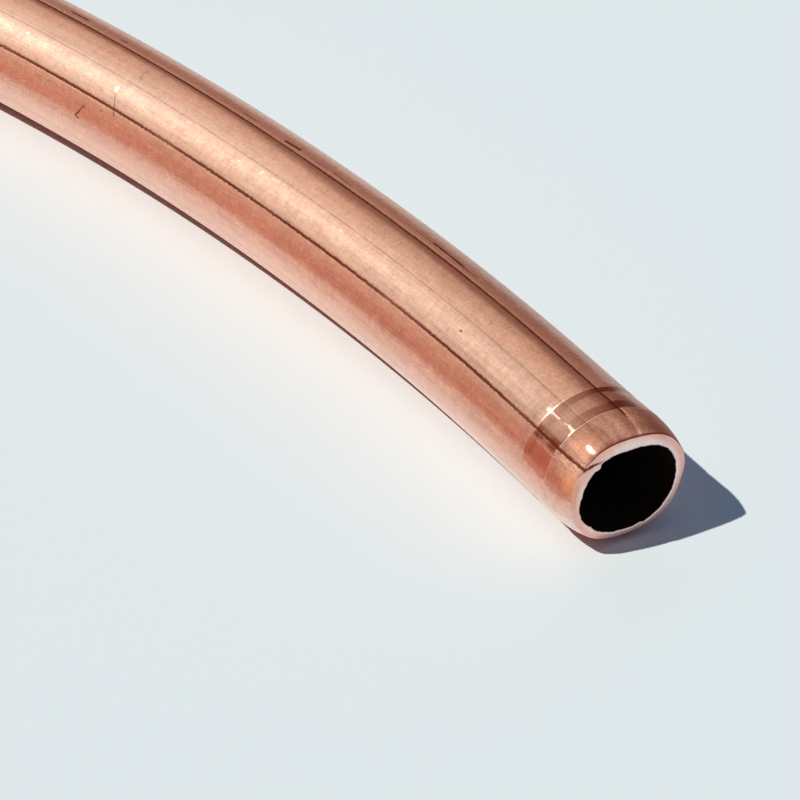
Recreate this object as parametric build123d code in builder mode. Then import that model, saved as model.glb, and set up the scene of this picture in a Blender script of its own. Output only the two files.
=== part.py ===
"""Coil of soft copper tube, 15 mm outside with a 1 mm wall, sold as a 5 m ring.

The ring lies flat on the floor, one tube thick, wound as a spiral of half circles that meet
tangentially. The outer end has sprung open into a wider bend and was cut with a wheel cutter,
which rolled a shallow band and necked the last few millimetres inwards. The inner end eases
towards the middle of the ring so that a fitting can be slipped over it.

Frame: origin on the floor under the middle of the outermost half turn, +Z up, and the outer
end points along -Y. Millimetres and degrees.
"""
from build123d import *
from math import cos, degrees, pi, radians, sin
import os

# The tube
tube_diameter = 15.0
wall = 1.0
stock_length = 5000.0

# The ring: centreline radius of the outermost half turn and the air between two turns
ring_radius = 240.0
turn_gap = 0.4

# The outer end, sprung open: a wider bend, then a short straight
spring_radius = 360.0
spring_angle = 78.0
outer_straight = 14.0

# The inner end, eased inwards: a tighter bend, then a straight for a fitting
ease_radius = 120.0
ease_angle = 30.0
inner_straight = 28.0

# What the cutter left on the outer end, measured back from the cut
mouth_diameter = 11.4
rim_diameter = 13.2
rim_rise = 0.3
neck_length = 4.4
mouth_depth = 3.0
band_width = 3.9
band_depth = 0.08
band_shoulder = 0.3

# The inner end was sawn and filed: a small edge break outside and inside
edge_break = 0.15

# Worked out from the sizes above
tube_radius = tube_diameter / 2
bore_radius = tube_radius - wall
pitch = tube_diameter + turn_gap
axis_height = tube_radius
mouth_radius = mouth_diameter / 2
rim_radius = rim_diameter / 2
band_radius = tube_radius - band_depth
worked_length = neck_length + band_width + 2 * band_shoulder


def at_angle(centre, radius, angle):
    """The point of a circle about centre, at an angle in degrees, in the coil's plane."""
    return (centre[0] + radius * cos(radians(angle)), centre[1] + radius * sin(radians(angle)))


def lay_out_spiral(length):
    """The spiral's arcs, as (centre, radius, start angle, arc angle), until they add up to length.

    Each half circle is half a pitch smaller than the one before it, and its centre lies half
    a pitch towards the shared end, so the two meet tangentially and the turns stay a pitch
    apart.
    """
    arcs = []
    centre = (0.0, 0.0)
    radius = ring_radius
    angle = spring_angle
    left = length
    while left > 0:
        arc_angle = min(180.0, degrees(left / radius))
        arcs.append((centre, radius, angle, arc_angle))
        left -= radians(arc_angle) * radius
        angle += arc_angle
        radius -= pitch / 2
        centre = at_angle(centre, pitch / 2, angle)
    return arcs


# Lengths of the stretches, so that the whole tube is as long as the ring is sold
spring_length = radians(spring_angle) * spring_radius
ease_length = radians(ease_angle) * ease_radius
ends_length = outer_straight + spring_length + ease_length + inner_straight
spiral = lay_out_spiral(stock_length - ends_length)

spring_centre = at_angle((0.0, 0.0), ring_radius - spring_radius, spring_angle)
spring_end = at_angle(spring_centre, spring_radius, 0.0)

# The tube's centreline, from the worked part of the outer end to the inner end
last_centre, last_radius, last_start, last_arc_angle = spiral[-1]
last_angle = last_start + last_arc_angle
ease_centre = at_angle(last_centre, last_radius - ease_radius, last_angle)

with BuildLine(Plane.XY.offset(axis_height)) as centreline:
    outer_run = Line(
        (spring_end[0], spring_end[1] - outer_straight + worked_length),
        spring_end,
    )
    CenterArc(spring_centre, spring_radius, 0.0, spring_angle)
    for centre, radius, start_angle, arc_angle in spiral:
        CenterArc(centre, radius, start_angle, arc_angle)
    ease_bend = CenterArc(ease_centre, ease_radius, last_angle, ease_angle)
    inner_run = Line(ease_bend @ 1, ease_bend @ 1 + (ease_bend % 1) * inner_straight)

cut_centre = (spring_end[0], spring_end[1] - outer_straight, axis_height)

with BuildPart() as copper_tube:
    # The plain tube, swept along its centreline
    with BuildSketch(Plane(origin=outer_run @ 0, z_dir=outer_run % 0)):
        Circle(tube_radius)
        Circle(bore_radius, mode=Mode.SUBTRACT)
    sweep(path=centreline.wires()[0])

    # The inner end's edges, broken with a file
    sawn_face = copper_tube.faces().filter_by(GeomType.PLANE).sort_by_distance(inner_run @ 1)[0]
    chamfer(sawn_face.edges(), edge_break)

    # The worked part of the outer end, turned about the tube's axis: drawn-in mouth, cut
    # face, necked rim and rolled band. X is the radius and Y the distance back from the cut.
    with BuildSketch(Plane(origin=cut_centre, x_dir=(1, 0, 0), z_dir=(0, 0, 1))):
        with BuildLine():
            mouth = TangentArc((bore_radius, mouth_depth), (mouth_radius, -rim_rise), tangent=(0, -1))
            neck = TangentArc((tube_radius, neck_length), (rim_radius, 0), tangent=(0, -1))
            Line(mouth @ 1, neck @ 1)
            Polyline(
                neck @ 0,
                (band_radius, neck_length + band_shoulder),
                (band_radius, neck_length + band_shoulder + band_width),
                (tube_radius, worked_length),
                (bore_radius, worked_length),
                mouth @ 0,
            )
        make_face()
    revolve(axis=Axis(cut_centre, (0, 1, 0)))

copper_tube.part.label = "copper_tube"
os.makedirs("parts", exist_ok=True)
export_step(copper_tube.part, "parts/copper_tube.step")

tube_length = centreline.wires()[0].length + worked_length
section_area = pi * (tube_radius**2 - bore_radius**2)
print(f"tube length {tube_length:.1f} mm, with {len(spiral)} arcs in the spiral")
print(f"volume {copper_tube.part.volume:.0f} mm3, plain tube {section_area * tube_length:.0f} mm3")
print(f"outer end's cut at {cut_centre[0]:.2f}, {cut_centre[1]:.2f}")
print(f"inner end at {(inner_run @ 1).X:.2f}, {(inner_run @ 1).Y:.2f}")
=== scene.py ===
# %% [markdown]
# # A ring of soft copper tube
#
# The real object is 5 m of annealed copper tube, 15 mm outside with a 1 mm wall, wound flat as
# it leaves the mill. Its outer end has sprung open and was cut off with a wheel cutter. One
# piece of metal means one mesh here, so nearly all the work is in two things: a tube whose
# section changes over its last few millimetres, and a copper that looks drawn, annealed and
# handled, not painted.
#
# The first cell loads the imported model, which fixes the frame: metres, +Z up, the floor at
# zero, and the outer end pointing along -Y.

# %% Load the frame
from math import cos, pi, radians, sin

import bpy
import numpy as np
from mathutils import Euler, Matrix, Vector


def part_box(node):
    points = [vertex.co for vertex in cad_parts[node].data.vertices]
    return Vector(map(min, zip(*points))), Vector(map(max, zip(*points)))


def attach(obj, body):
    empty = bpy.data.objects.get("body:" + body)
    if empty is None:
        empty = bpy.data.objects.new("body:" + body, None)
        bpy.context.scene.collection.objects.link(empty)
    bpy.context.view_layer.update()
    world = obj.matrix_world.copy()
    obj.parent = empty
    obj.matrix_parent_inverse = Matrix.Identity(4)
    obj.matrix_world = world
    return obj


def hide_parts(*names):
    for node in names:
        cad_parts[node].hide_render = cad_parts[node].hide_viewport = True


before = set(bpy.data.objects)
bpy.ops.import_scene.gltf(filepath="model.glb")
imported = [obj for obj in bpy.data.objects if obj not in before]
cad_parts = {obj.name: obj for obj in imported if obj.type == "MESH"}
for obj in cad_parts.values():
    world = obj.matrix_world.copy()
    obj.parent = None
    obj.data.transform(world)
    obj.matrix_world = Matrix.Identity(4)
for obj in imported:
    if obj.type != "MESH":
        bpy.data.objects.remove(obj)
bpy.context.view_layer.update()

tube_low, tube_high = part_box("copper_tube")
print("solid's box, mm:", [round(1000 * v, 2) for v in (*tube_low, *tube_high)])

# %% [markdown]
# ## The line that the tube follows
#
# A ring of tube is a spiral, but nobody winds a true one: a machine bends the tube in half
# circles, each a little tighter than the last, so a path of straights and arcs is both simpler
# and nearer to the truth. From the outer cut it is a short straight, the sprung-open bend, half
# circles that shrink by half a pitch each, a tighter bend towards the middle of the ring, and a
# straight for a fitting.
#
# A curve object with a bevel could carry the tube, but a formula gives the exact distance along
# the metal at every point, and the drawing lines and scratches need that distance later.

# %% The stretches, in metres
MM = 0.001
tube_radius = (tube_high.z - tube_low.z) / 2
stock_length = 5.0
ring_radius = 0.240
turn_pitch = 2 * tube_radius + 0.4 * MM
outer_straight = 14 * MM
spring_radius, spring_turn = 0.360, radians(78)
ease_radius, ease_turn = 0.120, radians(30)
inner_straight = 28 * MM


def lay_out_stretches():
    """(length, radius) of each stretch from the outer cut to the inner end, 0 for a straight.

    The half circles take up whatever length the two ends leave of the stock, and the last of
    them is cut short.
    """
    outer_end = [(outer_straight, 0), (spring_turn * spring_radius, spring_radius)]
    inner_end = [(ease_turn * ease_radius, ease_radius), (inner_straight, 0)]
    left = stock_length - sum(length for length, radius in outer_end + inner_end)
    turns = []
    radius = ring_radius
    while left > 0:
        turns.append((min(pi * radius, left), radius))
        left -= pi * radius
        radius -= turn_pitch / 2
    return outer_end + turns + inner_end


def start_of_each(stretches):
    """Arrays of distance, x, y, heading and curvature at the start of each stretch.

    The cut is placed so that the first half circle has its middle at the origin: the sprung
    bend's middle lies on the line from there to the point where the two bends meet.
    """
    past_middle = spring_radius - ring_radius
    x = spring_radius - past_middle * cos(spring_turn)
    y = -past_middle * sin(spring_turn) - outer_straight
    distance, heading = 0.0, pi / 2
    rows = []
    for length, radius in stretches:
        curvature = 1 / radius if radius else 0.0
        rows.append((distance, x, y, heading, curvature))
        turn = length * curvature
        chord = length * np.sinc(turn / (2 * pi))
        x += chord * cos(heading + turn / 2)
        y += chord * sin(heading + turn / 2)
        heading += turn
        distance += length
    return np.array(rows).T


stretch_starts = start_of_each(lay_out_stretches())


def centreline(along):
    """The axis's x, y and heading at each distance from the cut, as whole arrays.

    Within a stretch the heading grows by the curvature for each metre. The point moves by the
    chord of that arc, which is the arc's length times sin(half the turn) / (half the turn),
    in the direction of half the turn. The same words hold on a straight, where the turn is 0.
    """
    distance, start_x, start_y, start_heading, curvature = stretch_starts
    which = np.clip(np.searchsorted(distance, along, side="right") - 1, 0, None)
    past = along - distance[which]
    turn = past * curvature[which]
    chord = past * np.sinc(turn / (2 * pi))
    direction = start_heading[which] + turn / 2
    x = start_x[which] + chord * np.cos(direction)
    y = start_y[which] + chord * np.sin(direction)
    return x, y, start_heading[which] + turn


outer_cut = [float(v) for v in centreline(np.array(0.0))]
inner_cut = [float(v) for v in centreline(np.array(stock_length))]
print("outer cut at", [round(1000 * v, 2) for v in outer_cut[:2]], "mm")
print("inner cut at", [round(1000 * v, 2) for v in inner_cut[:2]], "mm")

# %% [markdown]
# ## The outside, bent in at the cut
#
# A tube cutter leaves its story on the end. Its wheel pushes the wall inwards, so the last
# 4 mm curve in to a smaller rim. Behind that, the two rollers that held the tube have pressed a
# shallow band into the soft metal, with a step down at each edge.
#
# The band is less than a tenth of a millimetre deep, yet it shows, because polished metal
# answers a change of slope and not a change of height. So the outside is described by its
# slope against the distance from the cut, and the radius comes from adding the slope up.

# %% How the outside radius changes near the cut
neck_length = 4.05 * MM
neck_drop = 0.60 * MM
band_end = 8.2 * MM
front_step_width, front_step_slope = 0.10 * MM, 0.22
back_step_width, back_step_slope = 0.22 * MM, 0.36
rim_round, rim_round_slope = 0.12 * MM, 1.0
# middle, width and slope of the slight rise just inside each step
band_rises = ((band_end - 1.25 * MM, 1.9 * MM, 0.060), (neck_length + 0.62 * MM, 1.5 * MM, 0.069))


def bump(distance, middle, width):
    """A smooth hill: 1 at the middle, falling as a squared cosine to 0 at half the width."""
    reach = np.clip(2 * np.abs(distance - middle) / width, 0, 1)
    return np.cos(reach * pi / 2) ** 2


def outside_slope(distance):
    """How fast the outside radius grows with distance from the cut.

    The neck's slope falls in a straight line from the rim to the band, which makes its outline
    a parabola, and the rim itself is steeper, because it is rounded. Each edge of the band is a
    short steep step, and just inside each step the roller has left the metal rising very
    slightly the other way. Beyond the band it is 0.
    """
    neck = 2 * neck_drop / neck_length * np.clip(1 - distance / neck_length, 0, None)
    back_step = back_step_slope * bump(distance, band_end - back_step_width / 2, back_step_width)
    front_step = front_step_slope * bump(distance, neck_length - front_step_width / 2,
                                         front_step_width)
    rising = sum(slope * bump(distance, middle, width) for middle, width, slope in band_rises)
    rounding = rim_round_slope * np.clip(1 - distance / rim_round, 0, None)
    return neck + front_step + back_step - rising + rounding


slope_step = 0.005 * MM
slope_at = np.arange(0, band_end + 2 * MM, slope_step)
slope_sum = np.cumsum(outside_slope(slope_at)) * slope_step


def outside_radius(distance):
    """The outside radius: the tube's own, less all the slope between here and plain tube."""
    return tube_radius - slope_sum[-1] + np.interp(distance, slope_at, slope_sum)


rim_radius = float(outside_radius(0.0))
print("rim", round(2000 * rim_radius, 2), "mm across")

# %% [markdown]
# ## One closed skin
#
# The outside, the cut face, the bore and the inner end's face are one surface: walk out along
# the tube, over the inner end's edge, back down the bore and out over the mouth. That walk
# gives the rows of a grid and the way round the tube gives its columns, and both directions
# close on themselves, so no edge can be open.
#
# The cut is where the eye goes, and its torn lip needs points less than a fifth of a millimetre
# apart. The other five metres don't. So the walk has two stretches: the worked end with many
# columns, and the plain tube with few. Where they meet, each face of the join takes several
# small edges on one side and one long edge on the other.

# %% The walk: distance from the cut and radius of every row
wall = 1.0 * MM
bore_radius = tube_radius - wall
mouth_radius = 5.69 * MM
mouth_reach = 0.29 * MM
mouth_depth = 3.0 * MM
lip_set_back, lip_bevel = 0.08 * MM, 0.03 * MM
edge_break = 0.15 * MM

worked_columns, plain_columns = 256, 64
throat_rows, face_rows = 24, 10
plain_from, close_until, bore_until = 9 * MM, 160 * MM, 12 * MM
close_spacing, far_rows, end_rows, bore_rows = 3 * MM, 606, 5, 330
# start, end and spacing in mm of the rows along the outside, closest at the band's two steps
outside_runs = ((0, 1, 0.08), (1, 3.9, 0.145), (3.9, 4.12, 0.025), (4.2, 7.9, 0.16),
                (7.92, 8.26, 0.035), (8.35, plain_from / MM, 0.2))


def walk_the_worked_end():
    """Rows (distance, radius) up the throat, over the cut face and back to plain tube.

    The throat narrows from the bore to the mouth as a quarter of a sine, and comes forward as a
    power of what is left of it. The cut face slopes forward from the rim to the mouth, a little
    more steeply near the rim. With each row come its share of the lip's wander and its share
    of the rim's roll. Both belong to an edge of the cut face, and fade out along the throat
    and along the neck.
    """
    up = np.linspace(0, 1, throat_rows)
    throat = np.stack([
        mouth_depth * (1 - up) ** 1.6 - mouth_reach + lip_set_back,
        mouth_radius + (bore_radius - mouth_radius) * np.sin((1 - up) * pi / 2),
        np.clip((up - 0.55) / 0.45, 0, 1) ** 2, 0 * up], axis=1)
    across = np.linspace(0, 1, face_rows + 2)[1:-1]
    face_from = mouth_radius + lip_bevel
    face = np.stack([
        -mouth_reach * (1 - across) ** 0.8, face_from + (rim_radius - face_from) * across,
        1 - across, across], axis=1)
    worked = np.concatenate([np.arange(*run) for run in outside_runs]) * MM
    outside = np.stack([worked, outside_radius(worked), 0 * worked,
                        np.clip(1 - worked / roll_length, 0, 1) ** 2], axis=1)
    return np.concatenate([throat, face, outside])


def walk_the_plain_tube():
    """Rows (distance, radius) from plain tube to the inner end and back down the bore.

    Nothing is torn or rolled here, so the shares of the lip and the rim are 0. The number of the
    row where the bore starts comes with them.
    """
    close = np.arange(plain_from, close_until, close_spacing)
    far = np.linspace(close_until, stock_length - edge_break, far_rows)
    outside = np.concatenate([close, far])
    end_radii = np.linspace(tube_radius - edge_break, bore_radius + edge_break, end_rows)
    bore = np.linspace(stock_length - edge_break, bore_until, bore_rows)
    distance = np.concatenate([outside, np.full(end_rows, stock_length), bore])
    radius = np.concatenate([np.full(len(outside), tube_radius), end_radii,
                             np.full(bore_rows, bore_radius)])
    rows = np.stack([distance, radius, 0 * distance, 0 * distance], axis=1)
    return rows, len(outside) + end_rows - 1


# %% [markdown]
# The cut isn't square. It leans about 5 degrees, the wheel has rolled the rim over most at its
# top and bottom, and the lip that it turned in is uneven, with a burr at the upper left. Each of
# these is a small change to the grid that fades out with distance from the cut. The lip is a
# list of places round the clock with a straight run between each two, as torn metal has, and a
# few quick sines roughen it.

# %% Lean, flattening, rolled rim and uneven lip
lean_outward, lean_up = 0.092, -0.013
lean_whole_until, lean_gone_from = 8 * MM, 26 * MM
flattening = 0.0165
roll_length = 0.75 * MM

# degrees round from the outer side, and mm outwards
lip_places = (
    (2, -0.11), (20, -0.02), (34, 0.03), (50, -0.06), (62, -0.26), (75, -0.44), (90, -0.55),
    (101, -0.47), (110, -0.20), (121, -0.07), (127, 0.03), (129.5, -0.10), (132, -0.30),
    (136, -0.27), (139, -0.06), (152, 0.0), (171, 0.02), (180, 0.24), (190, 0.34), (200, 0.38),
    (207, 0.30), (216, 0.13), (232, 0.16), (246, 0.05), (262, -0.09), (280, -0.08), (286, -0.15),
    (290, 0.11), (304, 0.08), (312, 0.10), (322, -0.02), (342, -0.08), (355, -0.15),
)
# waves round the edge, mm high and phase
lip_grit = ((17, 0.018, 2.9), (29, 0.020, 0.4), (47, 0.016, 1.7), (71, 0.012, 5.1))
rim_grit = ((31, 0.008, 1.0), (53, 0.006, 0.0))
# degrees of the middle, degrees wide, and mm that the rim is rolled in there
rolled_places = ((86, 92, 0.46), (272, 84, 0.36), (-14, 66, 0.30), (131, 16, 0.10), (190, 80, 0.22))


def fade(distance, start, end):
    """1 up to the start, 0 from the end on, and a smooth step between."""
    share = np.clip((distance - start) / (end - start), 0, 1)
    return 1 - share * share * (3 - 2 * share)


def grit(around, waves):
    """A little roughness round an edge: the sum of a few quick sines."""
    return sum(size * np.sin(count * around + phase) for count, size, phase in waves)


def lip_wander(around):
    """How far the mouth's edge strays from a circle: runs between places, and a little grit."""
    places = np.array(lip_places)
    runs = np.interp(around, np.radians(places[:, 0]), places[:, 1], period=2 * pi)
    return (runs + grit(around, lip_grit)) * MM


def rim_roll(around):
    """How far the rim is rolled in: a few broad hills, and a little grit."""
    roll = grit(around, rim_grit)
    for middle, width, depth in rolled_places:
        from_middle = (around - radians(middle) + pi) % (2 * pi) - pi
        roll = roll + depth * bump(from_middle, 0, radians(width))
    return roll * MM


def tube_surface(distance, radius, lip, roll, around):
    """Points of the skin, and the same points on the tube pulled straight.

    A point lies at its row's radius from the axis, turned by the angle around: 0 is level on
    the outer side of the bend and a quarter turn is the top. The row's distance along the tube
    is moved by the lean of the cut, and its radius by the flattening, the lip and the roll.
    """
    by_cut = fade(np.abs(distance), lean_whole_until, lean_gone_from)
    lean = lean_outward * np.cos(around) + lean_up * np.sin(around)
    at = distance - by_cut * radius * lean
    oval = 1 + flattening * np.cos(2 * around) * fade(np.abs(distance), 0, plain_from)
    size = radius * oval + lip * lip_wander(around) - roll * rim_roll(around)
    x, y, heading = centreline(at)
    out = size * np.cos(around)
    up = size * np.sin(around)
    points = np.stack([x + out * np.sin(heading), y - out * np.cos(heading),
                       tube_radius + up], axis=-1)
    straight = np.stack([out, up, np.broadcast_to(distance, out.shape)], axis=-1)
    return points.reshape(-1, 3), straight.reshape(-1, 3)


# %% Faces of a grid, and of a join between two grids
def grid_faces(first, rows, columns):
    """Quads between each row and the next, facing outwards. first is the first point's number."""
    row = np.arange(rows - 1)[:, None]
    column = np.arange(columns)[None, :]
    next_column = (column + 1) % columns
    corners = [row * columns + column, (row + 1) * columns + column,
               (row + 1) * columns + next_column, row * columns + next_column]
    return first + np.stack(corners, axis=-1).reshape(-1, 4)


def join_faces(fine_first, coarse_first):
    """One face for each coarse column: its two corners, and all the fine points beside it."""
    each = worked_columns // plain_columns
    column = np.arange(plain_columns)[:, None]
    fine = fine_first + (column * each + np.arange(each, -1, -1)) % worked_columns
    coarse = coarse_first + (column + [0, 1]) % plain_columns
    return np.concatenate([fine, coarse], axis=1)


# %% Points, faces and finishes of the whole tube
copper_finish, bore_finish, cut_finish = 0, 1, 2


def tube_points(worked_rows, plain_rows):
    """The points of both grids, in place and on the tube pulled straight."""
    points, straight = [], []
    for rows, columns in ((worked_rows, worked_columns), (plain_rows, plain_columns)):
        around = (np.arange(columns) * 2 * pi / columns)[None, :]
        row_values = [rows[:, i:i + 1] for i in range(4)]
        placed, pulled = tube_surface(*row_values, around)
        points.append(placed)
        straight.append(pulled)
    return np.concatenate(points), np.concatenate(straight)


def tube_faces(worked_count, plain_count):
    """The faces of the worked grid, the plain grid, the outer join and the bore's join."""
    plain_first = worked_count * worked_columns
    last_worked = plain_first - worked_columns
    last_plain = plain_first + (plain_count - 1) * plain_columns
    return [grid_faces(0, worked_count, worked_columns),
            grid_faces(plain_first, plain_count, plain_columns),
            join_faces(last_worked, plain_first),
            join_faces(0, last_plain)[:, ::-1]]


def face_finishes(worked_count, plain_count, bore_from):
    """The number of each face's finish, in the order of tube_faces."""
    worked = np.full(worked_count - 1, copper_finish)
    worked[:throat_rows - 1] = bore_finish
    worked[throat_rows - 1:throat_rows + face_rows] = cut_finish
    plain = np.full(plain_count - 1, copper_finish)
    plain[bore_from:] = bore_finish
    return np.concatenate([np.repeat(worked, worked_columns), np.repeat(plain, plain_columns),
                           np.full(plain_columns, copper_finish),
                           np.full(plain_columns, bore_finish)]).astype(np.int32)


# %% Make the mesh
def make_tube():
    """The whole tube as one smooth mesh, with the straightened place kept as an attribute."""
    worked_rows = walk_the_worked_end()
    plain_rows, bore_from = walk_the_plain_tube()
    counts = len(worked_rows), len(plain_rows)
    points, straight = tube_points(worked_rows, plain_rows)
    faces = [face for part in tube_faces(*counts) for face in part.tolist()]

    mesh = bpy.data.meshes.new("soft_copper_tube")
    mesh.from_pydata(points, [], faces)
    place = mesh.attributes.new("straightened", "FLOAT_VECTOR", "POINT")
    place.data.foreach_set("vector", straight.ravel())
    mesh.polygons.foreach_set("material_index", face_finishes(*counts, bore_from))
    mesh.shade_smooth()
    mesh.update()
    tube = bpy.data.objects.new("soft_copper_tube", mesh)
    bpy.context.scene.collection.objects.link(tube)
    return tube


tube = make_tube()
print("tube's triangles:", sum(face.loop_total - 2 for face in tube.data.polygons))

# %% [markdown]
# ## Writing nodes as sums
#
# A finish is mostly arithmetic: how far is this point from that line, how much of this and how
# much of that. Wired by hand it is a hundred boxes. Here a socket can be added, multiplied or
# compared like a number, and each operation leaves a Math node behind. Everything that isn't
# arithmetic is made by one method that takes a node's type, its settings and its inputs.

# %% A socket that does arithmetic
class Socket:
    """A node's output, for use in Python expressions."""

    def __init__(self, nodes, link):
        self.nodes, self.link = nodes, link

    def math(self, operation, *others):
        """A Math node with this as its first input."""
        inputs = dict(enumerate((self, *others)))
        return self.nodes.add("ShaderNodeMath", {"operation": operation}, inputs)

    def __add__(self, other):
        return self.math("ADD", other)

    def __sub__(self, other):
        return self.math("SUBTRACT", other)

    def __rsub__(self, other):
        return (self * -1) + other

    def __mul__(self, other):
        return self.math("MULTIPLY", other)

    def __truediv__(self, other):
        return self.math("DIVIDE", other)

    def __abs__(self):
        return self.math("ABSOLUTE")

    __radd__, __rmul__ = __add__, __mul__

    def larger(self, other):
        """The larger of this and the other at each point."""
        return self.math("MAXIMUM", other)

    def step(self, low, high):
        """A smooth step from 0 at low to 1 at high."""
        inputs = {"Value": self, "From Min": low, "From Max": high}
        return self.nodes.add("ShaderNodeMapRange", {"interpolation_type": "SMOOTHSTEP"}, inputs)


class Nodes:
    """A node tree that is written to from Python."""

    def __init__(self, tree):
        self.tree = tree
        tree.nodes.clear()

    def add(self, kind, settings=None, inputs=None, output=0):
        """Makes a node: its settings first, then the values or links of its inputs."""
        node = self.tree.nodes.new(kind)
        for name, value in (settings or {}).items():
            setattr(node, name, value)
        for name, value in (inputs or {}).items():
            if isinstance(value, Socket):
                self.tree.links.new(value.link, node.inputs[name])
            else:
                node.inputs[name].default_value = value
        return Socket(self, node.outputs[output]) if node.outputs else None

    def split(self, vector):
        """The three parts of a vector."""
        link = self.add("ShaderNodeSeparateXYZ", inputs={"Vector": vector}).link
        return [Socket(self, part) for part in link.node.outputs]

    def join(self, x, y, z):
        """A vector from its three parts."""
        return self.add("ShaderNodeCombineXYZ", inputs={"X": x, "Y": y, "Z": z})

    def noise(self, vector, scale=1.0, detail=2.0, roughness=0.5):
        """Noise between about 0.3 and 0.7."""
        inputs = {"Vector": vector, "Scale": scale, "Detail": detail, "Roughness": roughness}
        return self.add("ShaderNodeTexNoise", inputs=inputs)

    def blend(self, share, first, second):
        """The first colour where share is 0 and the second where it is 1."""
        settings = {"data_type": "RGBA", "clamp_factor": True}
        return self.add("ShaderNodeMix", settings, {0: share, 6: first, 7: second}, output=2)

    def tint(self, colour, by):
        """A colour times a number, such as a shade between 0.9 and 1.1."""
        return self.add("ShaderNodeVectorMath", {"operation": "SCALE"}, {0: colour, "Scale": by})


def new_finish(name):
    """A material with an empty node tree."""
    material = bpy.data.materials.new(name)
    material.use_nodes = True
    return material, Nodes(material.node_tree)


# %% [markdown]
# ## Annealed copper
#
# Bright copper reflects like a mirror of one colour. Soft tube doesn't: after the last draw it
# is annealed, its crystals grow, and the skin turns into a fine matt grain under which the
# drawn, polished surface still shows. So each point has two reflections at once: a broad one,
# which spreads a lamp over a third of the tube's width, and a narrower one, in which the floor
# and the sky still have edges. Two metal shaders with a Mix Shader between them say just that.
#
# On top of it lie the lines. A burr on the drawing die scores the tube from end to end at one
# place on its girth, so a line is a narrow range of the angle around the tube, whatever the
# bend does. The mesh carries each point's place on the straightened tube, and the angle comes
# from that, measured as millimetres round from the crest so that widths are real.

# %% Where a point is on the straightened tube
girth_mm_per_radian = tube_radius / MM


def unrolled(nodes):
    """The straightened place, mm round from the crest (inwards is positive), and mm along."""
    settings = {"attribute_name": "straightened"}
    place = nodes.add("ShaderNodeAttribute", settings, output=1)
    out, up, along = nodes.split(place)
    round_mm = (out * -1).math("ARCTAN2", up) * girth_mm_per_radian
    return place, round_mm, along * 1000


def crest_degrees(degrees):
    """Millimetres round from the crest to a line at this many degrees past it."""
    return radians(degrees) * girth_mm_per_radian


def twist(along_mm):
    """Millimetres round by which the lines drift: the tube turned 3 degrees as it was coiled."""
    return along_mm.step(16, 68) * crest_degrees(3.0)


# noise cells per millimetre along the tube, and how far a score strays as a share of its width
waver_cells, fading_cells, ragged_cells = 0.8, 0.07, 2.2
waver_share = 0.35


def score_line(nodes, round_mm, along_mm, degrees, width, depth, seed):
    """A score from end to end: its depth at its middle, 0 beyond its reach.

    It wavers by a few hundredths of a millimetre. Its reach is ragged, from 0.42 to 0.87 of the
    width, and its depth comes and goes along the tube. Each of the three is a noise of its own.
    """
    travel = nodes.join(seed, along_mm * waver_cells, 0.0)
    waver = (nodes.noise(travel, 1.0, 4.0, 0.7) - 0.5) * (waver_share * width)
    gap = abs(round_mm - crest_degrees(degrees) - twist(along_mm) + waver)
    fading = nodes.join(along_mm * fading_cells, seed, 0.0)
    strength = nodes.noise(fading, 1.0, 3.0).step(0.2, 0.55)
    grid = nodes.join(along_mm * ragged_cells, round_mm * 3.0, seed)
    ragged = nodes.noise(grid, 1.0, 3.0, 0.7)
    reach = (ragged.step(0.3, 0.7) * 0.45 + 0.42) * width
    return (1 - (gap / reach).step(0.3, 1.0)) * (strength * 0.3 + 0.7) * depth


def soft_edge(nodes, round_mm, along_mm, degrees, reach, seed):
    """A shade that starts at a line and fades over reach, inwards, with a slow wavy border.

    It swells between about 50 and 67 mm from the cut.
    """
    wave = nodes.noise(nodes.join(along_mm * 0.09, seed, 0.0), 1.0, 2.0)
    swell = along_mm.step(44, 56) * (1 - along_mm.step(60, 74))
    border = wave * (0.7 * reach) + swell * (0.35 * reach) + 0.55 * reach
    past = round_mm - crest_degrees(degrees) - twist(along_mm)
    return past.step(-0.05, 0.05) * (1 - (past / border).step(0.30, 1.20))


# %% [markdown]
# Marks are the other kind of wear: short scratches from handling and dashes where the die
# dragged. Beside them lie painted glints: bright spots and streaks painted where a small dent,
# the band's edges or the neck catch the sun. Each one is the distance to a short line laid on
# the unrolled surface, and the few that can be seen in the main view are listed by where they
# are.

# %% Marks at known places
def mark(round_mm, along_mm, along, degrees, length, turn, width):
    """A short stroke: 1 along its middle, 0 beyond its width.

    along is its middle's distance from the cut, degrees its place past the crest, and turn the
    angle between the stroke and the tube. The distance to the stroke is the distance to a line,
    past whose ends the extra length counts too.
    """
    down, across = along_mm - along, round_mm - crest_degrees(degrees)
    lengthways = down * cos(radians(turn)) + across * sin(radians(turn))
    sideways = across * cos(radians(turn)) - down * sin(radians(turn))
    beyond = (abs(lengthways) - length / 2).larger(0.0)
    gap = (beyond * beyond + sideways * sideways).math("SQRT")
    return 1 - gap.step(0.25 * width, width)


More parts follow.
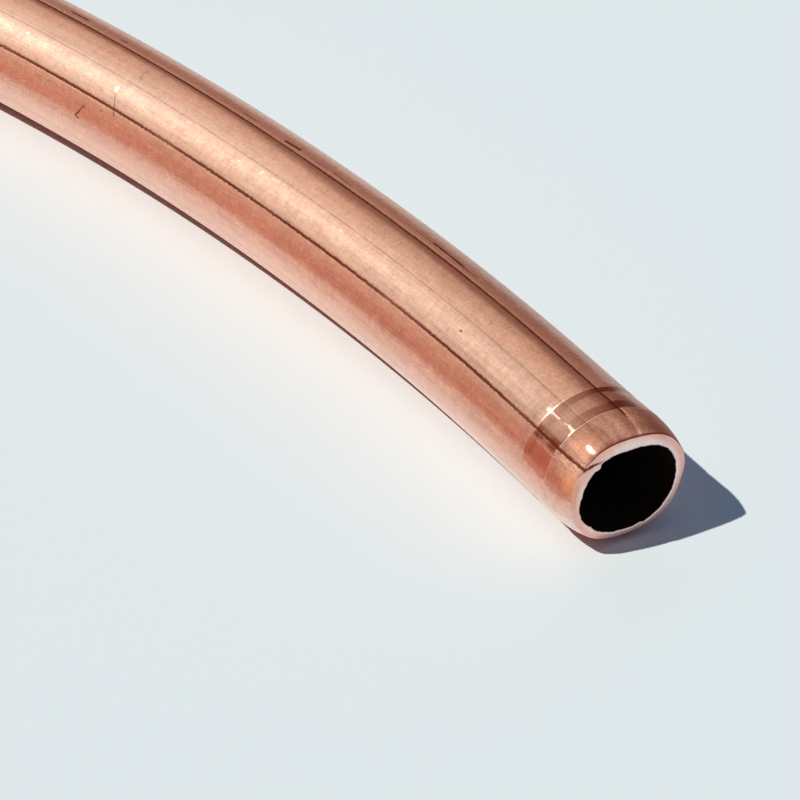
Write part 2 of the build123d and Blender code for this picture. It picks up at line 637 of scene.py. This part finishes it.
# along mm, degrees past the crest, length mm, turn, width mm, strength
dark_marks = (
    (36.3, -17.8, 5.4, 0, 0.28, 0.90),
    (32.8, -16.8, 3.4, 2, 0.14, 0.55),
    (41.0, -17.0, 5.0, -1, 0.15, 0.30),
    (55.0, -13.4, 3.2, -3, 0.20, 0.55),
    (59.2, -13.0, 3.0, 4, 0.15, 0.40),
    (63.9, -13.2, 2.4, 4, 0.32, 0.90),
    (71.6, -14.0, 2.2, 0, 0.20, 0.50),
    (94.4, -14.0, 1.0, 3, 0.26, 0.55),
    (102.6, -16.0, 2.8, 0, 0.30, 0.75),
    (14.7, -24.5, 1.0, 40, 0.14, 0.70),
    (92.6, 69.8, 1.2, 49, 0.15, 0.65),
    (93.2, 76.2, 0.9, 56, 0.22, 0.80),
    (93.2, 79.9, 0.7, 163, 0.20, 0.70),
    (88.1, 46.4, 1.4, 122, 0.13, 0.55),
    (87.5, 55.4, 1.3, 117, 0.15, 0.65),
    (87.3, 8.5, 0.8, 84, 0.13, 0.45),
    (87.1, 15.0, 1.0, 116, 0.12, 0.40),
    (90.7, 45.3, 0.2, 0, 0.20, 0.26),
    (89.4, 62.3, 0.2, 0, 0.22, 0.26),
    (25.3, 33.7, 0.1, 0, 0.20, 0.80),
    (4.9, 54.0, 1.0, 0, 0.50, 0.42),
    (7.1, 54.0, 0.8, 10, 0.55, 0.50),
    (7.3, 66.0, 1.6, 84, 0.45, 0.22),
    (8.1, 64.0, 3.0, 90, 0.14, 0.32),
)
# painted highlights: glints on small dents, the band's edges and the neck, same columns
painted_glints = (
    (0.95, 34.8, 0.7, -4, 0.36, 0.8),
    (4.5, 33.0, 0.7, -3, 0.26, 1.1),
    (5.3, 33.1, 0.5, 3, 0.16, 0.5),
    (7.2, 33.6, 1.3, 0, 0.18, 0.9),
    (8.2, 33.6, 0.5, 0, 0.34, 0.8),
    (88.7, 37.0, 0.2, 80, 0.34, 1.2),
    (63.0, 30.5, 0.4, 60, 0.17, 0.5),
    (60.6, 29.0, 1.2, 4, 0.12, 0.35),
    (66.8, 33.0, 0.2, 30, 0.17, 0.4),
    (105.5, 32.0, 0.2, 0, 0.20, 0.5),
    (48.2, 31.0, 0.3, 20, 0.14, 0.35),
    (76.5, 28.0, 0.9, 6, 0.10, 0.3),
)


def gather(round_mm, along_mm, marks):
    """The strongest of all the marks at each point."""
    found = 0.0
    for *stroke, strength in marks:
        one = mark(round_mm, along_mm, *stroke) * strength
        found = one.larger(found)
    return found


# %% [markdown]
# The finish itself. The colour is copper's own reflectance, a little uneven, and darker in the
# scores and marks, which hold oxide. The mix between the matt and the bright reflection follows
# the grain.

# %% Colours and reflections of the copper
copper_colour = (0.94, 0.570, 0.450, 1)
# painted reflections: a deeper red, a paler copper and the palest copper
red_reflection_copper = (0.93, 0.52, 0.395, 1)
pale_reflection_copper = (0.94, 0.63, 0.535, 1)
floor_reflection_copper = (1.0, 0.79, 0.75, 1)
golden_copper = (1.0, 0.74, 0.50, 1)
brown_copper = (0.30, 0.09, 0.05, 1)
# painted shade on the underside
underside_shade_copper = (0.42, 0.10, 0.06, 1)
# the whitish colour of the painted glints
glint_colour = (1.0, 0.89, 0.79, 1)
oxide_colour = (0.145, 0.024, 0.009, 1)
# painted reflection in red
painted_red_reflection = (0.62, 0.12, 0.05, 1)
# painted highlight in orange
painted_orange_highlight = (1.0, 0.58, 0.35, 1)
# painted shade on the neck
neck_shade_copper = (0.20, 0.07, 0.04, 1)
matt_roughness = 0.58
bright_roughness = 0.26
bright_share = 0.46
bump_height = 0.006 * MM
fraying_mm = 0.24


def stretched_noise(nodes, place, across, along, detail=3.0):
    """Noise with its own scale across the tube and along it, in cells per metre."""
    scaled = nodes.add("ShaderNodeVectorMath", {"operation": "MULTIPLY"},
                       {0: place, 1: (across, across, along)})
    return nodes.noise(scaled, 1.0, detail, 0.6) - 0.5


def between(value, low, high, soft):
    """1 between low and high, falling to 0 over a soft edge outside them."""
    return value.step(low - soft, low) * (1 - value.step(high, high + soft))


def bands(value, table):
    """Several soft-edged bands added up, each of them (low, high, soft edge, strength)."""
    each = [between(value, low, high, soft) * strength for low, high, soft, strength in table]
    return sum(each[1:], each[0])


# %% [markdown]
# The cutter's end has colours of its own, and most of them are painted light. Painted shade
# darkens the top of the band and the foot of each of its steps, a painted reflection lies red low
# on the band's side, and a painted highlight lies orange by the rim. The neck is a darker copper,
# with painted shade on it that changes round the tube. Each is a patch of colour between two
# distances and two angles, laid over the clean metal.

# %% Painted shade by the cut
neck_mm, band_mm = neck_length / MM, band_end / MM

# painted shade, in degrees past the crest: from, to, soft edge, strength
feet_far_side = (-28, -8, 7, 0.34)
neck_gap = (-10, 2, 7, 0.40)
neck_shade_places = ((3, 12, 8, 0.20), (20, 38, 6, 0.64), (44, 48, 5, 0.40))


def painted_band_shade(degrees, along, round_mm, in_band, on_top):
    """Painted shade on the band: all over its top, beside the main score, and most in its two feet.
    """
    feet = between(along, neck_mm + 0.2, neck_mm + 1.05, 0.35)
    feet = feet.larger(between(along, band_mm - 0.90, band_mm + 0.3, 0.3)) * in_band
    by_score = between(round_mm, crest_degrees(48.5), crest_degrees(56), 0.5)
    brown = in_band * (on_top * 0.36 + by_score * 0.55 + between(degrees, 26, 40, 6) * 0.08)
    brown = brown + feet * (1 - degrees.step(12, 32)) * 0.38 + feet * by_score * 0.22
    return brown + feet * bands(degrees, (feet_far_side,))


def neck_darkening_and_shade(degrees, along, patches):
    """Darker neck and painted shade: less down its near side and at the second score, more by the
    rim.
    """
    by_rim = 1 - along.step(0.4, 1.9)
    brown = 0.42 - degrees.step(46, 57) * 0.16 - degrees.step(70, 84) * 0.26
    brown = brown - bands(degrees, (neck_gap,))
    brown = brown + (1 - degrees.step(-34, -16)) * 0.22
    return brown + by_rim * (1 - degrees.step(14, 28)) * (0.10 + patches * 0.7)


# %% Colour by the cut
def colour_by_the_cut(nodes, place, round_mm, along_mm, clean):
    """The clean colour with the end's painted light and dark rim line over it, and where the neck
    is.
    """
    wander = stretched_noise(nodes, place, 420, 330, 2.0)
    patches = stretched_noise(nodes, place, 1500, 1100, 3.0)
    turning = stretched_noise(nodes, place, 130, 5200, 2.0)
    along, degrees = along_mm + wander * 1.2, round_mm / crest_degrees(1) + wander * 14
    in_neck = 1 - along_mm.step(neck_mm - 0.3, neck_mm - 0.1)
    in_band = between(along_mm, neck_mm, band_mm - 0.20, 0.08)
    on_top = between(degrees, -26, 46, 6)

    brown = painted_band_shade(degrees, along, round_mm, in_band, on_top)
    brown = brown + in_neck * neck_darkening_and_shade(degrees, along, patches)
    colour = nodes.blend(brown, clean, brown_copper)
    # painted reflection: red low on the band's side and on the neck
    red = in_band * between(degrees, 61, 80, 3) * 0.56
    red = red.larger(in_neck * between(degrees, 73, 84, 5) * 0.34)
    colour = nodes.blend(red, colour, painted_red_reflection)
    # painted highlight: an orange gleam just behind the rim, low on the near side
    orange = between(degrees, 65, 74, 7) * (1 - along.step(0.5, 2.6))
    colour = nodes.blend(orange * 0.8, colour, painted_orange_highlight)
    # a dark line along the top, just behind the rim
    rim_line = (1 - along_mm.step(0.06, 0.22)) * between(round_mm, -9.5, 4.2, 1.0)
    colour = nodes.blend(rim_line * 0.85, colour, oxide_colour)
    # painted shade: the neck is darkened most where the sun's gleam falls on it
    colour = nodes.blend(in_neck * bands(degrees, neck_shade_places), colour, neck_shade_copper)

    # painted shade along the front step's edge, except where its glint lies
    step_shade = between(along_mm, neck_mm - 0.07, neck_mm + 0.07, 0.03)
    step_shade = step_shade * (1 - between(degrees, 35, 39, 2.5)) * on_top
    uneven = (turning * 0.4 + patches * 0.3) * in_neck
    return nodes.tint(colour, 1 + uneven - step_shade * 0.55), in_neck


# %% [markdown]
# Away from the cut the colour changes slowly round the tube, and most of it is painted light: a
# deeper red on the near side is a painted reflection of something red beside the tube, the palest
# copper low down is a painted reflection of the floor, and the red-brown underside and the brown
# far side near the end are painted shade. Beside the second score lies a dark shade, which a
# painted highlight along a low ridge sets off.

# %% Scores and clean colour
# degrees past the crest, width mm, depth, seed
main_score = (51.6, 0.45, 1.0, 3.0)
second_score = (-9.2, 0.37, 1.0, 7.0)
faint_scores = ((21.9, 0.22, 0.34, 11.0), (-96.0, 0.22, 0.7, 19.0), (104.0, 0.14, 0.4, 23.0),
                (-141.0, 0.16, 0.5, 29.0), (150.0, 0.26, 0.7, 31.0))
# painted highlight along a low ridge beside the second score, in the same columns
painted_ridge_highlight = (-12.6, 0.34, 1.0, 41.0)
shade_reach_mm, shade_narrows_mm, shade_seed = 1.55, 0.5, 43.0

# painted shade that tones down the gleam: degrees past the crest from, to, soft edge, strength
painted_shade_bands = ((40, 52, 7, 0.07), (26, 44, 6, 0.06))
painted_shade_by_the_end = ((23, 30, 4, 0.06), (46, 54, 3, 0.07))
painted_shade_along_crest = ((-3, 5, 5, 0.06),)


def all_scores(nodes, round_mm, along_mm):
    """The strongest of all the scores at each point. The second one stops short of the rim."""
    scores = score_line(nodes, round_mm, along_mm, *main_score)
    second = score_line(nodes, round_mm, along_mm, *second_score)
    scores = (second * along_mm.step(1.9, 3.1)).larger(scores)
    for score in faint_scores:
        scores = score_line(nodes, round_mm, along_mm, *score).larger(scores)
    return scores


def copper_round_the_tube(nodes, degrees, along_mm, speck, shade, beside):
    """The clean copper's colour round the tube, with painted reflections and painted shade, flecked
    with gold, and shaded.
    """
    # painted reflection: paler copper low down, where the floor shows, and a paler gleam far from
    # the end
    pale = degrees.step(84, 104).larger(between(degrees, 14, 30, 8) * along_mm.step(50, 75) * 0.4)
    clean = nodes.blend(pale, copper_colour, pale_reflection_copper)
    # painted reflection: a deeper red on the near side, where something red beside the tube shows
    clean = nodes.blend(between(degrees, 58, 85, 4) * 0.75, clean, red_reflection_copper)
    # painted reflection: the palest copper low down near the end, where the floor shows
    palest = degrees.step(96, 116) * (1 - along_mm.step(16, 50))
    clean = nodes.blend(palest, clean, floor_reflection_copper)
    clean = nodes.blend(speck.step(0.0, 0.14) * 0.36, clean, golden_copper)
    clean = nodes.tint(clean, shade)
    clean = nodes.blend(beside * 0.57, clean, brown_copper)
    # painted shade on the far side near the end
    shaded_far_flank = (1 - degrees.step(-30, -14)) * (1 - along_mm.step(20, 60))
    clean = nodes.blend(shaded_far_flank * 0.34, clean, brown_copper)
    # painted shade: a darker, redder underside
    return nodes.blend(abs(degrees).step(129, 139) * 0.75, clean, underside_shade_copper)


# %% Copper skin
def copper_skin():
    """The outside of the tube."""
    material, nodes = new_finish("copper_skin")
    place, round_mm, along_mm = unrolled(nodes)
    degrees = round_mm / crest_degrees(1)
    grain = stretched_noise(nodes, place, 4300, 3600, 2.0)
    blotch = stretched_noise(nodes, place, 900, 700)
    drawn = stretched_noise(nodes, place, 2600, 35)
    hairs = stretched_noise(nodes, place, 7000, 260, 2.0)
    chatter = stretched_noise(nodes, place, 420, 2300, 2.0)
    cloud = stretched_noise(nodes, place, 60, 38, 2.0)
    speck = stretched_noise(nodes, place, 2300, 1500, 1.0)

    scores = all_scores(nodes, round_mm, along_mm)
    # painted highlight along the low ridge
    ridge = score_line(nodes, round_mm, along_mm, *painted_ridge_highlight)
    shade_reach = shade_reach_mm - along_mm.step(45, 75) * shade_narrows_mm
    beside = soft_edge(nodes, round_mm, along_mm, second_score[0], shade_reach, shade_seed)
    frayed = round_mm + speck * fraying_mm, along_mm + blotch * fraying_mm
    marks = gather(*frayed, dark_marks)
    # painted glints, from the list of painted highlights
    glint_paint = gather(*frayed, painted_glints)

    by_end = 1 - along_mm.step(18, 30)
    uneven = grain * 1.0 + blotch * 0.38 + drawn * 0.36 + hairs * 0.32 + chatter * 0.25
    # Grain, blotches, lines and cloud are the copper's own. The ridge and the glints are painted
    # highlight, and the copper is painted darker near the end and in bands that tone down its
    # gleam.
    shade = (0.91 + uneven * (1 - degrees.step(84, 98) * 0.5)
             + cloud * 0.16 + ridge * 0.16 + glint_paint * 0.8 + along_mm.step(18, 62) * 0.06
             - bands(degrees, painted_shade_by_the_end) * by_end - bands(degrees, painted_shade_bands)
             - bands(degrees, painted_shade_along_crest) * (1 - along_mm.step(45, 65)))
    clean = copper_round_the_tube(nodes, degrees, along_mm, speck, shade, beside)
    clean, in_neck = colour_by_the_cut(nodes, place, round_mm, along_mm, clean)
    # the painted glints whiten the colour
    clean = nodes.blend(glint_paint * 0.55, clean, glint_colour)
    colour = nodes.blend((scores * 0.95).larger(marks), clean, oxide_colour)

    calm = degrees.step(54, 66) + 1 - degrees.step(-24, -12)
    height = (grain * 1.0 + blotch * 1.6 + drawn * 1.2 + hairs * 0.8 + chatter * 0.5
              - scores * 3.0) * (1 - in_neck * 0.5) * (1 - calm * 0.75)
    normal = nodes.add("ShaderNodeBump", inputs={
        "Strength": 1.0, "Distance": bump_height, "Height": height})

    share = bright_share + (grain * 0.9 + cloud * 0.3 + blotch * 0.3) * (1 - calm * 0.6)
    share = share * (1 - (scores * 0.7).larger(glint_paint * 0.5))
    dull = in_neck * (1 - degrees.step(66, 88))
    share = share * (1 - dull) + dull * 0.02
    matt = nodes.add("ShaderNodeBsdfPrincipled", inputs={
        "Base Color": colour, "Metallic": 1.0, "Roughness": matt_roughness, "Normal": normal})
    bright = nodes.add("ShaderNodeBsdfPrincipled", inputs={
        "Base Color": colour, "Metallic": 1.0,
        "Roughness": bright_roughness + blotch * 0.10 - dull * 0.06, "Normal": normal})
    both = nodes.add("ShaderNodeMixShader", inputs={0: share, 1: matt, 2: bright})
    nodes.add("ShaderNodeOutputMaterial", inputs={"Surface": both})
    return material


# %% [markdown]
# ## The cut face and the bore
#
# Where the wheel broke through, the metal is fresh, torn on a very small scale and pale. The
# bore is painted shade: a near-black, rough skin with hardly any reflection, so the mouth reads
# as a black hole with a bright ring round it. This is the one place where copper doesn't look
# like metal.

# %% Cut face
cut_inner_colour, cut_outer_colour = (1.0, 0.80, 0.75, 1), (0.93, 0.53, 0.44, 1)
cut_warm_colour = (0.95, 0.58, 0.46, 1)
cut_rubbed_colour = (0.80, 0.40, 0.26, 1)
crack_colour = (0.16, 0.02, 0.02, 1)
crack_degrees, crack_lean = 43, 16


def fresh_cut():
    """The narrow ring that the cutter's wheel left, warmer outwards, with a crack across it.

    The crack starts where the main score meets the rim. It leans over by 16 degrees for each
    millimetre of radius, and fades before it reaches the mouth.
    """
    material, nodes = new_finish("fresh_cut")
    place, round_mm, _ = unrolled(nodes)
    out, up, _ = nodes.split(place)
    radius_mm = (out * out + up * up).math("SQRT") * 1000
    outer_part = radius_mm.step(5.7, 6.6)
    tear = nodes.noise(place, 3400, 3.0, 0.7)
    wide = nodes.noise(place, 600, 2.0, 0.5)
    colour = nodes.blend(outer_part, cut_inner_colour, cut_outer_colour)
    colour = nodes.tint(colour, 0.99 + (tear - 0.5) * 0.35 + (wide - 0.5) * 0.3)
    degrees = round_mm / crest_degrees(1)
    colour = nodes.blend(between(degrees, 24, 62, 10) * 0.5, colour, cut_warm_colour)
    crack_mm = crest_degrees(crack_degrees) + (radius_mm - 6.3) * crest_degrees(crack_lean)
    crack = 1 - abs(round_mm - crack_mm + (tear - 0.5) * 1.2).step(0.26, 0.60)
    crack = crack * radius_mm.step(5.7, 6.2)
    colour = nodes.blend(crack * 0.95, colour, crack_colour)
    rubbed = radius_mm.step(6.35, 6.6) * between(degrees, 70, 92, 6)
    colour = nodes.blend(rubbed * 0.7, colour, cut_rubbed_colour)
    normal = nodes.add("ShaderNodeBump", inputs={
        "Strength": 0.8, "Distance": 0.02 * MM, "Height": tear + wide * 0.8 - crack * 2.0})
    metal = nodes.add("ShaderNodeBsdfPrincipled", inputs={
        "Base Color": colour, "Metallic": 0.85, "Roughness": 0.45, "Normal": normal})
    nodes.add("ShaderNodeOutputMaterial", inputs={"Surface": metal})
    return material


# %% Bore, and all three finishes on the tube
# painted shade: the near-black colours of the bore, a little uneven
bore_shade_dark, bore_shade_light = (0.008, 0.004, 0.003, 1), (0.016, 0.008, 0.006, 1)
bore_lip_colour = (1.0, 0.74, 0.66, 1)


def painted_dark_bore():
    """The inside, painted near black as shade, with a bright lip at the mouth."""
    material, nodes = new_finish("painted_dark_bore")
    place, _, along_mm = unrolled(nodes)
    bore_unevenness = nodes.noise(place, 300, 3.0, 0.6)
    lip = 1 - along_mm.step(-0.18, 0.05)
    dark = nodes.blend(bore_unevenness.step(0.35, 0.65), bore_shade_dark, bore_shade_light)
    colour = nodes.blend(lip, dark, bore_lip_colour)
    skin = nodes.add("ShaderNodeBsdfPrincipled", inputs={
        "Base Color": colour, "Metallic": lip, "Roughness": 0.85 - lip * 0.35,
        "Specular IOR Level": 0.15})
    nodes.add("ShaderNodeOutputMaterial", inputs={"Surface": skin})
    return material


# in the order of copper_finish, bore_finish and cut_finish
for finish in (copper_skin(), painted_dark_bore(), fresh_cut()):
    tube.data.materials.append(finish)
    print("finish", finish.name, "has", len(finish.node_tree.nodes), "nodes")

# %% [markdown]
# ## Hand the tube to the frame
#
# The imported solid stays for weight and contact, and this mesh is shown in its place. It rides
# on the row's only body.

# %% Put the tube in the frame
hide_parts("copper_tube")
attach(tube, "root")

# %% [markdown]
# ## Floor, light and camera
#
# Polished metal has hardly a look of its own: it shows what stands round it. So the room is
# part of the copper's finish. A pale floor gives the tube its light underside, a sky that is
# dark near the horizon gives it the brown and red bands, and one sun gives it the broad gleam
# and a crisp shadow. Painted reflections and painted shade in the copper's colour add to each.

# %% The floor
floor_half = 40.0
floor_colour = (0.98, 1.0, 1.0, 1)


def pale_floor():
    """One flat square of matt paint, wide enough to reach the horizon."""
    mesh = bpy.data.meshes.new("floor")
    corners = [(-floor_half, -floor_half, 0), (floor_half, -floor_half, 0),
               (floor_half, floor_half, 0), (-floor_half, floor_half, 0)]
    mesh.from_pydata(corners, [], [(0, 1, 2, 3)])
    floor = bpy.data.objects.new("floor", mesh)
    bpy.context.scene.collection.objects.link(floor)
    material, nodes = new_finish("pale_floor")
    paint = nodes.add("ShaderNodeBsdfPrincipled", inputs={
        "Base Color": floor_colour, "Roughness": 0.8, "Specular IOR Level": 0.1})
    nodes.add("ShaderNodeOutputMaterial", inputs={"Surface": paint})
    mesh.materials.append(material)


pale_floor()

# %% The sun
sun_height, sun_from = radians(53.9), radians(158.7)
sun_strength, sun_width, sun_colour = 2.68, radians(0.9), (0.972, 1.0, 0.942)
to_sun = Vector((cos(sun_height) * cos(sun_from), cos(sun_height) * sin(sun_from), sin(sun_height)))
sun_data = bpy.data.lights.new("sun", "SUN")
sun_data.energy = sun_strength
sun_data.angle = sun_width
sun_data.color = sun_colour
sun = bpy.data.objects.new("sun", sun_data)
sun.rotation_mode = "QUATERNION"
sun.rotation_quaternion = to_sun.to_track_quat("Z", "Y")
bpy.context.scene.collection.objects.link(sun)

# %% [markdown]
# Two skies are needed. The floor wants a cool one, darker on the left, which tints its shadows.
# Metal wants one with something to see: a wide warm glow round the sun, which fades to a
# red-brown surrounding, and a soft plain light from the front. Light Path tells which ray is
# asking, and the camera itself sees a pale backdrop.

# %% The sky
surround_colour, glow_colour = (0.18, 0.037, 0.019, 1), (0.64, 0.49, 0.40, 1)
core_colour = (0.06, 0.15, 0.15, 1)
low_left_colour, front_colour = (0.50, 0.22, 0.13, 1), (0.80, 0.70, 0.65, 1)
dome_left, dome_right = (0.004, 0.034, 0.070, 1), (0.135, 0.185, 0.270, 1)
backdrop_colour = (0.80, 0.85, 0.86, 1)
# cosines of the angle from the sun at which each starts and is whole
glow_edge = cos(radians(88)), cos(radians(56))
core_edge = cos(radians(46)), cos(radians(22))


def make_sky():
    """A glow round the sun for metal, a cool dome for the floor, a pale backdrop to the camera."""
    world = bpy.data.worlds.new("sky")
    world.use_nodes = True
    bpy.context.scene.world = world
    nodes = Nodes(world.node_tree)
    direction = nodes.add("ShaderNodeTexCoord", output="Generated")
    sideways, away, height = nodes.split(direction)
    to_glow = nodes.add("ShaderNodeVectorMath", {"operation": "DOT_PRODUCT"},
                        {0: direction, 1: to_sun}, output="Value")

    seen = nodes.blend(to_glow.step(*glow_edge), surround_colour, glow_colour)
    seen = nodes.blend(to_glow.step(*core_edge), seen, core_colour)
    low_left = (1 - height.step(0.24, 0.36)) * (1 - sideways.step(-0.2, 0.0))
    seen = nodes.blend(low_left, seen, low_left_colour)
    seen = nodes.blend(away.step(-0.5, -0.1), front_colour, seen)

    dome = nodes.blend(sideways.step(-0.35, 0.25), dome_left, dome_right)
    is_glossy = nodes.add("ShaderNodeLightPath", output="Is Glossy Ray")
    is_camera = nodes.add("ShaderNodeLightPath", output="Is Camera Ray")
    colour = nodes.blend(is_glossy, dome, seen)
    colour = nodes.blend(is_camera, colour, backdrop_colour)
    light = nodes.add("ShaderNodeBackground", inputs={"Color": colour, "Strength": 1.0})
    nodes.add("ShaderNodeOutputWorld", inputs={"Surface": light})


make_sky()

# %% [markdown]
# A photographer who wants a warm edge along the underside of bright metal props a coloured card
# just above the floor beside it. Here that card is a low strip of orange light along the inner
# side of the sprung end. Only reflections show it.

# %% The warm card
card_radius = spring_radius - 25.5 * MM
card_from, card_to = radians(-6), radians(33)
card_low, card_high = 0.2 * MM, 8.5 * MM
card_points = 40
card_colour = (0.49, 0.105, 0.038, 1)


def warm_card():
    """An upright strip on a circle about the sprung bend's middle."""
    middle_x = outer_cut[0] - spring_radius
    middle_y = outer_cut[1] + outer_straight
    angle = np.linspace(card_from, card_to, card_points)
    foot = np.stack([middle_x + card_radius * np.cos(angle),
                     middle_y + card_radius * np.sin(angle),
                     np.full(card_points, card_low)], axis=1)
    points = np.concatenate([foot, foot + (0, 0, card_high - card_low)])
    faces = [(i, i + 1, i + 1 + card_points, i + card_points) for i in range(card_points - 1)]
    mesh = bpy.data.meshes.new("warm_card")
    mesh.from_pydata(points, [], faces)
    card = bpy.data.objects.new("warm_card", mesh)
    bpy.context.scene.collection.objects.link(card)
    material, nodes = new_finish("warm_card")
    light = nodes.add("ShaderNodeEmission", inputs={"Color": card_colour})
    nodes.add("ShaderNodeOutputMaterial", inputs={"Surface": light})
    material.cycles.emission_sampling = "NONE"
    mesh.materials.append(material)
    card.visible_camera = card.visible_diffuse = card.visible_shadow = False
    card.visible_transmission = False


warm_card()

# %% [markdown]
# The camera stands where the picture was taken from: about 35 cm away, 24 cm up, looking down by
# 38.7 degrees through a long lens, so that the tube's end is sharp and large and the ring runs
# out of the frame.

# %% The camera
camera_place = Vector((166.913, -345.347, 236.559)) * MM
camera_turn, camera_dip = radians(33.099), radians(38.731)
sensor_mm, lens_mm = 36.0, 151.74
camera_data = bpy.data.cameras.new("camera")
camera_data.sensor_width = sensor_mm
camera_data.lens = lens_mm
camera_data.clip_start = 0.01
camera_data.clip_end = 200.0
camera = bpy.data.objects.new("camera", camera_data)
camera.location = camera_place
camera.rotation_euler = Euler((pi / 2 - camera_dip, 0, -camera_turn))
bpy.context.scene.collection.objects.link(camera)
bpy.context.scene.camera = camera
bpy.context.scene.view_settings.view_transform = "Standard"
